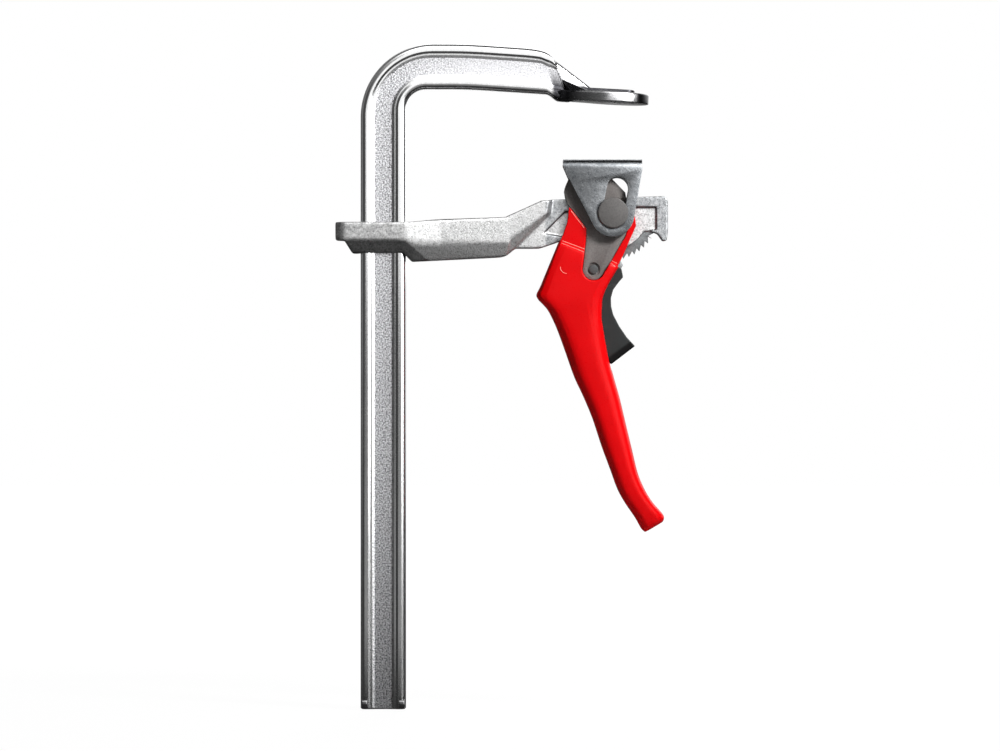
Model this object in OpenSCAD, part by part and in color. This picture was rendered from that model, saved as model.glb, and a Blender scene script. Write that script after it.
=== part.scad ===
// Lever clamp: a rail with a fixed jaw, a sliding arm and a ratchet lever.
// +Z runs up along the rail and +X points towards the jaws. The origin is
// the middle of the rail's lower end face. The clamp is drawn nearly closed.

/* [Rail] */
// Overall height, from the rail's lower end to the top of the bend
clamp_h = 287.6; // [250:0.1:600]
// Width of the rail, across X
rail_w = 19.5; // [18:0.1:22]
// Thickness of the rail, across Y
rail_t = 9.5; // [8.5:0.1:11]
// Width of the sunk flat between the ribs
flat_w = 7.3; // [5:0.1:8]
// Width of the stepped slope on each side of the flat
slope_w = 2.75; // [1.5:0.05:3.2]
// Depth of the sunk flat
groove_d = 1; // [0.5:0.05:1.4]
// Rounding of the rail's long edges
rail_edge_r = 1.1; // [0.6:0.1:1.6]
// Inner radius of the bend
bend_r = 8.7; // [6:0.1:16]
// Angle by which the top bar droops
bar_droop = 3.8; // [0:0.1:4.5]
// Height of the top bar where it meets the jaw
bar_end_h = 19.3; // [17.5:0.1:19.5]
// Height of the peened end that keeps the arm on the rail
stop_h = 4; // [2.5:0.5:10]
// Growth of each rib on the peened end
stop_grow = 0.5; // [0.45:0.05:0.8]

/* [Fixed jaw] */
// Throat depth, from the rail's edge to the middle of the jaws
throat = 85; // [80:0.5:120]
// Length of the jaw pad, along X
pad_l = 40; // [36:0.5:44]
// Width of the jaw pad, across Y
pad_w = 30; // [26:0.5:36]
// Thickness of the jaw pad
pad_t = 4.3; // [3.5:0.1:5.5]
// Tilt of the jaw pad, taken up when the clamp is tightened
pad_tilt = 3.1; // [0:0.1:5]
// Drop from the top of the clamp to the middle of the pad's face
pad_drop = 25.2; // [24:0.1:28]
// Width of the pad's neck at the bar
pad_neck_w = 17; // [14:0.5:20]
// Height of the rib on top of the pad
pad_rib_h = 1.7; // [1:0.1:3]
// Width of the rib on top of the pad
pad_rib_w = 7; // [5:0.5:10]

/* [Sliding arm] */
// Opening between the jaws as drawn, at the middle of the pad
drawn_opening = 24.9; // [24.5:0.1:190]
// Height of the eye
eye_h = 13.5; // [12:0.1:16]
// Height of the eye's drawn-in lower part
eye_foot_h = 5.6; // [4:0.1:7]
// Wall of the eye behind the rail, along X
eye_back = 10.6; // [8:0.1:14]
// Wall of the eye beside the rail, across Y
eye_side = 4.4; // [3.5:0.1:6]
// Running clearance between the rail and the eye, each side
eye_gap = 0.3; // [0.2:0.05:0.4]
// Width of the arm's beam, across Y
beam_w = 14.8; // [13.5:0.1:16]
// Width of the beam's underside, across Y
beam_foot_w = 10; // [8:0.5:12]
// Thickness of the arm's thin end, across Y
end_t = 9; // [8:0.1:10]
// Thickness of the web inside the thin end's rim
web_t = 7; // [6.4:0.1:7.6]

/* [Lever pivot] */
// Height of the pivot above the eye's underside
pivot_rise = 17.2; // [17:0.1:18]
// Offset of the pivot from the middle of the jaws
pivot_dx = 4.4; // [4:0.1:5]
// Diameter of the pivot pin
pin_d = 9; // [8:0.1:9.2]
// Diameter of the pivot pin's head and washer
pin_head_d = 13; // [12:0.1:14]
// Thickness of the pivot pin's head and washer
pin_head_t = 2.8; // [2:0.1:3.5]
// Outer diameter of the hard sleeve in the arm
bush_d = 12; // [11:0.1:12.6]
// Radial clearance of pins and sleeves in their holes
fit = 0.05; // [0.03:0.01:0.08]
// Gap between faces that slide past one another
side_gap = 0.3; // [0.2:0.05:0.35]

/* [Ratchet] */
// Radius of the tooth tips about the pivot
tooth_tip_r = 20; // [19:0.1:20.4]
// Depth of the teeth
tooth_d = 1.8; // [1.2:0.1:2.2]
// Angle between teeth
tooth_pitch = 7.35; // [6:0.05:9]
// Number of teeth
teeth = 10; // [8:1:10]
// Angle of the first tooth below the horizontal
tooth_start = 32.2; // [30:0.1:34]
// Thickness of the toothed plate
ratchet_t = 3.5; // [3:0.1:3.8]
// Radius of the arm's web, behind which the teeth stand out
web_r = 15.5; // [15:0.1:16]
// Diameter of the segment's rivets
rivet_d = 3; // [2.5:0.1:3.4]

/* [Pressure plate] */
// Length of the pressure plate, along X
plate_l = 34; // [30:0.5:36]
// Thickness of the folded sheet
sheet_t = 2.4; // [2:0.1:2.8]
// Inner radius of the fold
fold_r = 1.6; // [1:0.1:2]
// Gap from the cams to the inside of the folded walls
wall_gap = 1.1; // [0.9:0.1:1.4]
// Width of the slot that the pin runs in
slot_w = 9.5; // [9.4:0.1:10]
// Tilt of the slot from upright
slot_tilt = 11.4; // [10:0.1:12]
// Radius of the wall's rounded lower end
wall_end_r = 9.4; // [9:0.1:9.6]

/* [Cam] */
// Height from the pivot to the plate's inner face in the drawn pose
cam_h = 20.6; // [20:0.1:21]
// Lift of the cam for each radian of lever turn
cam_lift = 13.1; // [12.5:0.1:13.5]
// Clearance between the cam and the plate's inner face
cam_gap = 0.3; // [0.2:0.05:0.4]
// Thickness of a cam plate
cam_t = 2.8; // [2.4:0.1:3]
// Turn of the lever from the drawn pose to fully open
open_turn = 46; // [40:1:46]

/* [Grip] */
// Length of the grip below the pivot
grip_l = 137.6; // [125:0.1:160]
// Half thickness of the forked cheeks, across Y
cheek_half = 8; // [7.8:0.1:8.2]
// Skin of the handle outside its drawn edge, on each side
grip_skin = 0.3; // [0:0.05:0.5]
// Half thickness of the handle at its middle, across Y
grip_half = 10.4; // [9.5:0.1:12]
// Radius of the fork's clearance round the teeth
fork_r = 21.2; // [21:0.1:21.4]
// Clearance of the cams in their pockets
pocket_gap = 0.15; // [0.1:0.05:0.25]

/* [Trigger] */
// Width of the trigger, across Y
trigger_w = 8; // [7:0.1:8.4]
// Width of the trigger's hub, across Y
hub_w = 6.2; // [6:0.1:6.6]
// Gap between the trigger and the walls of its slot, each side
trigger_gap = 0.25; // [0.15:0.05:0.3]
// Thickness of the pawl
pawl_t = 3; // [2.6:0.1:3.2]
// Diameter of the trigger pin
trigger_pin_d = 4; // [3.6:0.1:4.2]
// Outer diameter of the sleeve on the trigger pin
trigger_bush_d = 5.4; // [5:0.1:5.6]
// Diameter of the spring's wire
spring_d = 0.5; // [0.4:0.05:0.55]

/* [Hidden] */
$fn = 64;
eps = 0.01;
far = 60;

jaw_x = rail_w / 2 + throat;
pivot_x = jaw_x + pivot_dx;
// The bend is thinner at its corner, so its radius grows faster than the rail's half width.
// Then the bar runs level for level_l and turns down over droop_l.
bend_grow = 1.18;
bend_mid_r = bend_r + bend_grow * rail_w / 2;
bar_x = bend_mid_r + (bend_grow - 1) * rail_w / 2;
bar_z = clamp_h - rail_w / 2;
level_l = 6.2;
droop_l = 16;
bar_end_x = jaw_x - pad_l / 2 - 2.3;
bar_l = bar_end_x - bar_x;
bar_dip = 13;
bar_dips = [[8, 0.03], [4, 0.09], [1.6, 0.17], [0.4, 0.29], [0, 0.5]];
bar_end_z = bar_mid_z(bar_l);
pad_z = clamp_h - pad_drop;
pad_top = pad_z + pad_t;
plate_top = cam_h + cam_gap + sheet_t;
pivot_z = pad_z - drawn_opening - plate_top;
arm_z = pivot_z - pivot_rise;

web_half = web_t / 2;
end_half = end_t / 2;
cam_in = end_half + side_gap;
cam_out = cam_in + cam_t;
wall_in = cam_out + wall_gap;
wall_out = wall_in + sheet_t;
head_in = wall_out + side_gap;
head_out = head_in + pin_head_t;

// Places of the trigger's pivot and of the thin end's edges, about the main pivot
trigger_at = [-8.3, -24.2];
hub_r = 4.2;
rim_top = 7.5;
rim_right = 23.9;
rim_t = 5;
hook_z = -11.9;

// Points along an arc
function arc(c, r, a0, a1, n = 8) =
    [for (i = [0:n]) let (a = a0 + (a1 - a0) * i / n) c + r * [cos(a), sin(a)]];
function polar(r, a) = r * [cos(a), sin(a)];
function flip_x(p) = [for (i = [len(p) - 1:-1:0]) [-p[i][0], p[i][1]]];

// Extrudes an outline drawn in X and Z, from y = y0 to y = y1
module slab(y0, y1) {
    translate([0, y1, 0]) rotate([90, 0, 0]) linear_extrude(y1 - y0) children();
}

// The same, on both sides of the middle plane
module both(y0, y1) {
    slab(y0, y1) children();
    slab(-y1, -y0) children();
}

// A round bar across the clamp at [x, z], from y = y0 to y = y1
module cross_bar(at, r, y0, y1) {
    translate([at[0], y1, at[1]]) rotate([90, 0, 0]) cylinder(r = r, h = y1 - y0);
}

// Moves what is drawn about the pivot to the pivot's place
module at_pivot() {
    translate([pivot_x, 0, pivot_z]) children();
}

// Middle line of the bar at length l along X: its height, and its slope there
function bar_turn(l) = min(max(l - level_l, 0), droop_l);
function bar_mid_z(l) = bar_z - tan(bar_droop)
    * (pow(bar_turn(l), 2) / (2 * droop_l) + max(l - level_l - droop_l, 0));
function bar_point(l, off) = let (a = bar_droop * bar_turn(l) / droop_l)
    [bar_x + l + off * sin(a), bar_mid_z(l) + off * cos(a)];

// Outline of the rail and its bar: half width h on the rail, h_end at the bar's end,
// where the upper edge dips towards the jaw
function rail_outline(h, h_end, z0, l) = let (
    outer_r = bend_mid_r + bend_grow * h,
    inner_r = bend_mid_r - bend_grow * h,
    stops = [for (i = [0:6]) level_l + (droop_l - 1) * i / 6],
    slim = (h_end - h) / bar_l)
    concat([[-h, z0]], arc([outer_r - h, bar_z + h - outer_r], outer_r, 180, 90, 28),
        [for (at = stops) bar_point(at, h + slim * at)],
        [bar_point(l - bar_dip, h_end - slim * bar_dip)],
        [for (dip = bar_dips) bar_point(l - dip[0], (1 - dip[1]) * h_end)],
        [bar_point(l, -h_end)],
        [for (i = [6:-1:0]) bar_point(stops[i], -h - slim * stops[i])],
        arc([inner_r + h, bar_z - h - inner_r], inner_r, 90, 180, 20), [[h, z0]]);

// One layer of the rail's thickness, drawn in by inset from its outline
module rail_layer(half_t, inset) {
    slab(-half_t, half_t)
        polygon(rail_outline(rail_w / 2 - inset, bar_end_h / 2 - inset, inset, bar_l - inset));
}

// Sunk flat and its stepped slopes: the depth and half width of each step
module rail_grooves() {
    shrink = bar_end_h / rail_w;
    run_out = 2.5;
    steps = [[0.3 * groove_d, flat_w / 2 + slope_w], [0.65 * groove_d, flat_w / 2 + slope_w / 2],
        [groove_d, flat_w / 2]];
    for (step = steps)
        both(rail_t / 2 - step[0], far)
            polygon(rail_outline(step[1], step[1] * shrink, -1, bar_l - run_out - 2 * step[0]));
}

// Outline of the jaw pad from above: a wide round front end and a narrow neck
function pad_outline(w, neck) = let (
    front = w / 2,
    back = neck / 2,
    c1 = pad_l / 2 - front,
    c0 = back - pad_l / 2,
    lean = 90 + asin((front - back) / (c1 - c0)))
    concat(arc([c1, 0], front, -lean, lean, 32), arc([c0, 0], back, lean, 360 - lean, 16));

module pad_frame() {
    translate([jaw_x, 0, pad_z]) rotate([0, pad_tilt, 0]) children();
}

// Raised rib on the pad, from the gusset's foot to a round end
module pad_rib() {
    rib_end = 10.3;
    pad_frame() translate([0, 0, pad_t - 1]) {
        translate([rib_end, 0, 0]) cylinder(d = pad_rib_w, h = pad_rib_h + 1);
        translate([-pad_l / 2 + 6, -pad_rib_w / 2, 0])
            cube([rib_end + pad_l / 2 - 6, pad_rib_w, pad_rib_h + 1]);
    }
}

// Ridge that runs from the bar down to the pad, with its spreading flanks
module gusset() {
    ridge_top = bar_end_z + bar_end_h / 2 - 4.5;
    ridge_foot_x = jaw_x - 3.3;
    hull() {
        translate([bar_end_x - 2, -rail_t / 2 + 0.6, pad_top])
            cube([2, rail_t - 1.2, ridge_top - pad_top]);
        translate([ridge_foot_x - 1, -1.2, pad_top - 1]) cube([1, 2.4, 2.7]);
        pad_frame() translate([-pad_l / 2 + 8, -10, pad_t - 1]) cube([6, 20, 0.9]);
    }
    hull() {
        translate([bar_end_x - 2, -rail_t / 2 + 0.2, bar_end_z - bar_end_h / 2 + 0.3])
            cube([2, rail_t - 0.4, 7]);
        pad_frame() translate([pad_neck_w / 2 - pad_l / 2 + 1, 0, 0.8])
            cylinder(d = pad_neck_w - 1, h = pad_t - 0.9, $fn = 32);
    }
}

// Ribs peened out at the lower end, past the eye's hole
module end_stop() {
    peen_w = 2.2;
    for (side = [-1, 1])
        translate([side * (rail_w / 2 - 1.7) - peen_w / 2, -rail_t / 2 - stop_grow, 0])
            cube([peen_w, rail_t + 2 * stop_grow, stop_h]);
}

module rail() {
    color([0.74, 0.75, 0.76]) {
        difference() {
            union() {
                rail_layer(rail_t / 2 - 0.62 * rail_edge_r, 0);
                rail_layer(rail_t / 2 - 0.22 * rail_edge_r, 0.22 * rail_edge_r);
                rail_layer(rail_t / 2, 0.62 * rail_edge_r);
            }
            rail_grooves();
        }
        end_stop();
        gusset();
        pad_rib();
        pad_frame() linear_extrude(pad_t) polygon(pad_outline(pad_w, pad_neck_w));
    }
}

// The hole in the eye, with its clearance round the rail
module eye_hole() {
    translate([-rail_w / 2 - eye_gap, -rail_t / 2 - eye_gap, arm_z - 10])
        cube([rail_w + 2 * eye_gap, rail_t + 2 * eye_gap, eye_h + 20]);
}

eye_half = rail_t / 2 + eye_side;
eye_x = -rail_w / 2 - eye_gap - eye_back;
beam_x = rail_w / 2 + 2.6;
jog_x = pivot_x - 42.7;
rib_x = pivot_x - 26;

// Eye round the rail: a band, and a foot below it whose sides are drawn in
module eye() {
    corner = 5;
    front_x = beam_x - 1.5;
    foot_top_half = eye_half - 0.7;
    foot_half = rail_t / 2 + eye_gap + 0.9;
    translate([0, 0, arm_z + eye_foot_h]) linear_extrude(eye_h - eye_foot_h)
        polygon(concat(
            arc([eye_x + corner, eye_half - corner], corner, 90, 180, 8),
            arc([eye_x + corner, corner - eye_half], corner, 180, 270, 8),
            [[front_x, -eye_half], [front_x, eye_half]]));
    hull() {
        translate([eye_x + 4.1, -foot_top_half, arm_z + eye_foot_h - 0.4])
            cube([front_x - eye_x - 4.1, 2 * foot_top_half, 0.4 + eps]);
        translate([eye_x + 7.3, -foot_half, arm_z])
            cube([front_x - eye_x - 7.3, 2 * foot_half, 0.3]);
    }
}

// Beam from the eye to the jog: it narrows past the eye, and its flanks are drawn in below
module beam() {
    hull() {
        slab(-eye_half, eye_half) polygon([
            [1, arm_z + 7.5], [beam_x - 2.3, arm_z + 5.8],
            [beam_x - 2.3, arm_z + eye_h - 0.2], [1, arm_z + 12]]);
        slab(-eye_half + 0.5, eye_half - 0.5) polygon([
            [beam_x + 1.6, arm_z + 3.6], [beam_x + 2.2, arm_z + 3.6], [beam_x + 2, arm_z + 4.6]]);
        slab(-beam_w / 2, beam_w / 2) polygon([
            [beam_x + 11.5, arm_z + 3.2], [jog_x - 1.8, arm_z + 4.6],
            [jog_x, arm_z + 15.7], [beam_x + 11, arm_z + 14.7]]);
        slab(-beam_foot_w / 2, beam_foot_w / 2) polygon([
            [beam_x, arm_z - 3.6], [jog_x - 5.9, arm_z - 1.7], [jog_x - 3.2, arm_z - 1]]);
    }
}

// Slanting rib that carries the beam up to the thin end
module jog() {
    hull() {
        slab(-beam_w / 2, beam_w / 2) polygon([
            [jog_x - 4, arm_z + 4.6], [rib_x - 2.2, arm_z + 17.4], [rib_x - 1.5, arm_z + 22.6],
            [rib_x - 4.6, arm_z + 22.8], [jog_x, arm_z + 15.7], [jog_x - 4, arm_z + 15.5]]);
        slab(-end_half, end_half) polygon([
            [jog_x - 3.2, arm_z - 1], [jog_x + 0.6, arm_z + 2.1], [rib_x - 0.6, arm_z + 17.3],
            [rib_x, arm_z + 22.8], [jog_x - 3.2, arm_z + 10]]);
    }
}

// Outline of the thin end about the pivot, down to the hook on the right
function end_outline() = concat(
    [[jog_x - pivot_x, 2.1 - pivot_rise], [-32.1, 2.1 - pivot_rise], [-30.5, 2.5 - pivot_rise],
     [-22.6, -12], [-15, -9.6]],
    arc([0, 0], web_r, -140, -30, 24),
    [[16.7, -7.7], [19.5, -8.8], [21.4, hook_z + 0.3]],
    [[22, hook_z], [rim_right - 0.4, hook_z + 0.4], [rim_right, hook_z + 4]],
    arc([rim_right - 2.2, rim_top - 2.2], 2.2, 0, 90, 6),
    [[-20, 6.2], [-27, 5.9], [jog_x - pivot_x, 0]]);

// The sunk web inside the thin end's rim
function web_outline() = [
    [-30.2, -8.6], [-20.6, 0.8], [-14, 1.6], [-11, rim_top - rim_t + 0.4],
    [rim_right - rim_t, rim_top - rim_t + 0.4], [rim_right - rim_t, -7.2],
    [16.7, -7.2], [15, -16], [-10, -20], [-15, -8.4], [-22.4, -10]];

// Outline of the toothed plate about the pivot
segment_end = -112;
function segment_outline() = concat(
    arc([0, 0], bush_d / 2 + 2.2, 200, -30, 24),
    [polar(tooth_tip_r, -24), polar(tooth_tip_r - tooth_d, 0.5 - tooth_start)],
    [for (i = [0:teeth - 1]) let (a = -tooth_start - i * tooth_pitch)
        each [polar(tooth_tip_r, a), polar(tooth_tip_r - tooth_d, a - 0.4)]],
    [polar(tooth_tip_r - tooth_d, -tooth_start - teeth * tooth_pitch),
     polar(tooth_tip_r - tooth_d, segment_end)]);

// The slot that the toothed plate sits in, open towards the teeth
module segment_slot() {
    slab(-ratchet_t / 2 - fit, ratchet_t / 2 + fit) {
        offset(delta = fit) polygon(segment_outline());
        polygon([polar(web_r - 1, -30), polar(tooth_tip_r + fit, -26), polar(far, -26),
            polar(far, segment_end), polar(web_r - 1, segment_end)]);
    }
}

rivet_at = [polar(11, -70), polar(11, -108)];

module sliding_arm() {
    color([0.62, 0.63, 0.64]) difference() {
        union() {
            eye();
            beam();
            jog();
            at_pivot() slab(-end_half, end_half) polygon(end_outline());
        }
        eye_hole();
        at_pivot() {
            difference() {
                both(web_half, end_half + 1) polygon(web_outline());
                cross_bar([0, 0], bush_d / 2 + 2.5, -far, far);
            }
            segment_slot();
            cross_bar([0, 0], bush_d / 2 + fit, -far, far);
            for (at = rivet_at) cross_bar(at, rivet_d / 2 + fit, -far, far);
        }
    }
}

module ratchet_segment() {
    color([0.4, 0.41, 0.42]) at_pivot() difference() {
        slab(-ratchet_t / 2, ratchet_t / 2) polygon(segment_outline());
        cross_bar([0, 0], bush_d / 2 + fit, -far, far);
        for (at = rivet_at) cross_bar(at, rivet_d / 2 + fit, -far, far);
    }
}

module ratchet_rivets() {
    color([0.55, 0.56, 0.57]) at_pivot()
        for (at = rivet_at) cross_bar(at, rivet_d / 2, -web_half, web_half);
}

module pivot_bush() {
    color([0.5, 0.5, 0.5]) at_pivot() difference() {
        cross_bar([0, 0], bush_d / 2, -end_half, end_half);
        cross_bar([0, 0], pin_d / 2 + fit, -far, far);
    }
}

// The pin turns with the lever; its reduced end carries the washer
module pivot_pin() {
    neck_r = pin_d / 2 - 1;
    color([0.45, 0.43, 0.42]) at_pivot() {
        cross_bar([0, 0], pin_head_d / 2, -head_out, -head_in);
        cross_bar([0, 0], pin_d / 2, -head_in - eps, head_in);
        cross_bar([0, 0], neck_r, head_in - eps, head_out + 0.4);
    }
}

module pivot_washer() {
    neck_r = pin_d / 2 - 1;
    color([0.45, 0.43, 0.42]) at_pivot() difference() {
        cross_bar([0, 0], pin_head_d / 2, head_in, head_out);
        cross_bar([0, 0], neck_r + fit, -far, far);
    }
}

// Outline of the plate's wall about the pivot, from the fold to its round end
plate_x0 = -pivot_dx - plate_l / 2;
plate_x1 = plate_x0 + plate_l;
wall_end = [-0.2, -0.8];
function wall_outline() = concat(
    [[plate_x0, plate_top], [plate_x0, 20.7], [plate_x0 + 3.1, 13.6]],
    arc(wall_end, wall_end_r, 212, 352, 24),
    [[plate_x1 - 2.6, 3.4], [plate_x1, 18.5], [plate_x1, plate_top]]);

// Folded sheet seen from its end: two walls under a flat top
function fold_section() = let (
    outer = concat(
        arc([wall_out - fold_r - sheet_t, plate_top - fold_r - sheet_t], fold_r + sheet_t, 0, 90, 12)),
    inner = concat(
        arc([wall_in - fold_r, plate_top - sheet_t - fold_r], fold_r, 90, 0, 12)))
    concat([[wall_out, -far]], outer, flip_x(outer), [[-wall_out, -far], [-wall_in, -far]],
        flip_x(inner), inner, [[wall_in, -far]]);

module slot() {
    travel_up = (cam_lift / cos(slot_tilt)) * open_turn * PI / 180 + 0.6;
    travel_down = (cam_lift / cos(slot_tilt)) * tooth_pitch * PI / 180 + 0.2;
    rotate([0, slot_tilt, 0]) {
        translate([0, 0, travel_up]) cross_bar([0, 0], slot_w / 2, -far, far);
        translate([0, 0, -travel_down]) cross_bar([0, 0], slot_w / 2, -far, far);
        translate([-slot_w / 2, -far, -travel_down])
            cube([slot_w, 2 * far, travel_up + travel_down]);
    }
}

module pressure_plate() {
    color([0.55, 0.58, 0.61]) at_pivot() difference() {
        intersection() {
            slab(-far, far) polygon(wall_outline());
            translate([plate_x0 - 5, 0, 0]) rotate([90, 0, 90])
                linear_extrude(plate_l + 10) polygon(fold_section());
        }
        slot();
    }
}

// Rolling face of the cam: it lifts a flat evenly with the lever's turn
function cam_point(a) = let (h = cam_h + cam_lift * (a - 90) * PI / 180)
    h * [cos(a), sin(a)] + cam_lift * [-sin(a), cos(a)];
function cam_outline() = let (
    a0 = 90 - open_turn,
    a1 = 90 + tooth_pitch + 2,
    heel = cam_point(a0) + 10.5 * [sin(a0), -cos(a0)],
    toe_r = 4.63)
    concat(
        [heel],
        [for (i = [0:20]) cam_point(a0 + (a1 - a0) * i / 20)],
        [[-18.7, 15.6], [-20.5, 11.6], [-20.9, 9.8], [-20.5, 7.2], [-19.3, 3.6],
         [-11.2, -6.5], [-11.5, -12.3]],
        arc(trigger_at, toe_r, 172, 332, 16),
        [[5.4, -9.6], [7.2, -3]]);

module cam_plate(side) {
    recess_r = 2.8;
    color([0.46, 0.44, 0.43]) at_pivot() difference() {
        slab(side > 0 ? cam_in : -cam_out, side > 0 ? cam_out : -cam_in) polygon(cam_outline());
        cross_bar([0, 0], pin_d / 2 + fit, -far, far);
        cross_bar(trigger_at, trigger_pin_d / 2 + fit, -far, far);
        cross_bar(trigger_at, recess_r, side > 0 ? cam_out - 0.6 : -far,
            side > 0 ? far : 0.6 - cam_out);
    }
}

module cam_plate_front() { cam_plate(-1); }

module cam_plate_rear() { cam_plate(1); }

// Stations down the handle about the pivot: left edge, right edge, thickness share
// and squareness, which is 2 for an ellipse and more for flatter sides
stations = [
    [[-23.0, -12.4], [2.2, -22.9], 0.79, 12],
    [[-23.5, -13.4], [1.8, -23.9], 0.9, 12],
    [[-27.0, -21.9], [-1.6, -29.5], 0.94, 10],
    [[-31.0, -31.6], [-4.4, -35.8], 0.98, 7],
    [[-32.6, -35.9], [-4.8, -40.0], 1, 5.5],
    [[-28.2, -41.0], [-4.9, -45.1], 1, 4.5],
    [[-25.7, -45.5], [-4.2, -49.5], 1, 4],
    [[-23.2, -51.3], [-3.2, -55.5], 1, 3.6],
    [[-19.9, -60.4], [-1.5, -64.0], 1, 3.4],
    [[-16.2, -70.8], [0.8, -72.5], 1, 3.4],
    [[-12.5, -78.7], [2.9, -80.0], 1, 3.4],
    [[-8.3, -88.8], [5.5, -91.0], 1, 3.4],
    [[-4.5, -100.4], [8.3, -102.6], 1, 3.4],
    [[-0.6, -110.9], [10.7, -112.4], 0.98, 3.4],
    [[2.4, -119.1], [13.8, -119.6], 0.95, 3.4],
    [[5.7, -125.1], [17.2, -125.0], 0.9, 3.4],
    [[10.1, -131.5], [20.7, -129.0], 0.82, 3.4],
    [[12.7, -136.1], [22.1, -131.3], 0.7, 3.2],
    [[14.4, -137.6], [21.7, -133.3], 0.45, 3]];
ring_n = 40;

// The stations' lower part follows the grip's length, and a smooth curve joins them
drawn_grip_l = 137.6;
stretch_from = 66;
function stretched(p) = p + (grip_l - drawn_grip_l)
    * max(0, (-p[1] - stretch_from) / (drawn_grip_l - stretch_from)) * [0.36, -1];
function between(a, b, c, d, t) =
    (2 * b + (c - a) * t + (2 * a - 5 * b + 4 * c - d) * t * t
    + (3 * b - a - 3 * c + d) * t * t * t) / 2;
function smoothed(list, n) = let (last = len(list) - 1) concat(
    [for (i = [0:last - 1]) for (k = [0:n - 1])
        between(list[max(0, i - 1)], list[i], list[i + 1], list[min(last, i + 2)], k / n)],
    [list[last]]);

// One ring of the handle: flat sides and rounded edges
function squircle(a, n) = let (c = cos(a), s = sin(a), k = pow(pow(abs(c), n) + pow(abs(s), n), 1 / n))
    [c / k, s / k];
function ring(s) = let (
    mid = (s[0] + s[1]) / 2,
    reach = (s[1] - s[0]) / 2 + grip_skin * (s[1] - s[0]) / norm(s[1] - s[0]))
    [for (i = [0:ring_n - 1]) let (q = squircle(360 * i / ring_n, s[3]), p = mid + reach * q[0])
        [p[0], grip_half * s[2] * q[1], p[1]]];

module handle() {
    drawn = [for (s = stations) [stretched(s[0]), stretched(s[1]), s[2], s[3]]];
    rings = [for (s = smoothed(drawn, 3)) ring(s)];
    last = len(rings) - 1;
    polyhedron(
        points = [for (r = rings) each r],
        faces = concat(
            [[for (j = [ring_n - 1:-1:0]) j]],
            [for (i = [0:last - 1]) for (j = [0:ring_n - 1])
                let (a = i * ring_n + j, b = i * ring_n + (j + 1) % ring_n)
                    each [[a, b + ring_n, a + ring_n], [a, b, b + ring_n]]],
            [[for (j = [0:ring_n - 1]) last * ring_n + j]]));
}

// Forked upper end of the grip: two cheeks that reach up beside the cams
function cheek_outline() = [
    [-19, 2.5], [-19.6, -3.6], [-21.3, -8.6], [-22.8, -12.2], [-21.8, -15],
    [0.6, -24.3], [2.6, -22], [3.9, -19.4], [10.1, -5.3], [9.4, -1], [6.5, 1], [-12, 4]];

// Room for the arm's thin end between the cheeks, over the whole swing
module fork() {
    slab(-cam_in, cam_in) {
        circle(fork_r);
        polygon([[-40, -24.9], [-8, -9.1], [-8, 40], [-40, 40]]);
    }
}

// Room for the trigger, open to the right and wider below the hub
module trigger_room() {
    slab(-hub_w / 2 - trigger_gap, hub_w / 2 + trigger_gap)
        polygon([[-13.5, -17], [-13.5, -30.1], [12, -30.1], [12, -17]]);
    slab(-trigger_w / 2 - trigger_gap, trigger_w / 2 + trigger_gap)
        polygon([[-12.4, -30], [-14.4, -57], [-13.6, -62], [-8, -67.5], [12, -67.5], [12, -30]]);
}

module grip() {
    color([0.86, 0.05, 0.07]) at_pivot() difference() {
        union() {
            handle();
            slab(-cheek_half, cheek_half) polygon(cheek_outline());
        }
        fork();
        trigger_room();
        both(cam_in, far) offset(delta = pocket_gap) polygon(cam_outline());
        cross_bar(trigger_at, trigger_pin_d / 2 + fit, -far, far);
    }
}

module trigger_pin() {
    color([0.45, 0.43, 0.42]) at_pivot()
        cross_bar(trigger_at, trigger_pin_d / 2, -cam_out - 0.2, cam_out + 0.2);
}

module trigger_bush() {
    color([0.6, 0.6, 0.6]) at_pivot() difference() {
        cross_bar(trigger_at, trigger_bush_d / 2, -hub_w / 2, hub_w / 2);
        cross_bar(trigger_at, trigger_pin_d / 2 + fit, -far, far);
    }
}

// Steel catch: an eye on the sleeve, a nose under the teeth and a buried tail
function pawl_outline(g) = concat(
    [[4.6 + g, -22.2], [3.7 + g, -23.7 - g], [0.4, -25.6 - g], [-2.2, -36 - g], [-6.4 - g, -36 - g]],
    arc(trigger_at, hub_r - 0.6 + g, 200, 60, 10),
    [[-2.5, -21.1 + g], [2.9, -20.5 + g], [3.6 + g, -20.1 + g]]);

module pawl() {
    color([0.4, 0.41, 0.42]) at_pivot() difference() {
        slab(-pawl_t / 2, pawl_t / 2) polygon(pawl_outline(0));
        cross_bar(trigger_at, trigger_bush_d / 2 + fit, -far, far);
    }
}

// Outline of the trigger: the finger's hollow on the right, the hub on the left
function trigger_outline() = concat(
    [[3.9, -23.9], [4.6, -27.5], [2.9, -29.4], [0.3, -32.9], [-0.7, -36.5], [-0.6, -40.1],
     [0.3, -43.7], [2.9, -48.7], [6.1, -53.4], [9.7, -57.3], [-0.6, -65.2], [-3.4, -61.6],
     [-5.8, -52], [-7.6, -42], [-9.6, -34]],
    arc(trigger_at, hub_r, 212, 75, 12),
    [[-2.4, -21.6], [1.6, -22.2]]);

module trigger() {
    color([0.17, 0.18, 0.18]) at_pivot() difference() {
        union() {
            slab(-hub_w / 2, hub_w / 2) polygon(trigger_outline());
            intersection() {
                slab(-trigger_w / 2, trigger_w / 2) polygon(trigger_outline());
                translate([-far, -far, -31.2 - far]) cube([2 * far, 2 * far, far]);
            }
        }
        slab(-pawl_t / 2 - fit, pawl_t / 2 + fit) polygon(pawl_outline(fit));
        cross_bar(trigger_at, trigger_bush_d / 2 + fit, -far, far);
        cross_bar(trigger_at, hub_r + 1, -far, -pawl_t / 2 - fit);
    }
}

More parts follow.
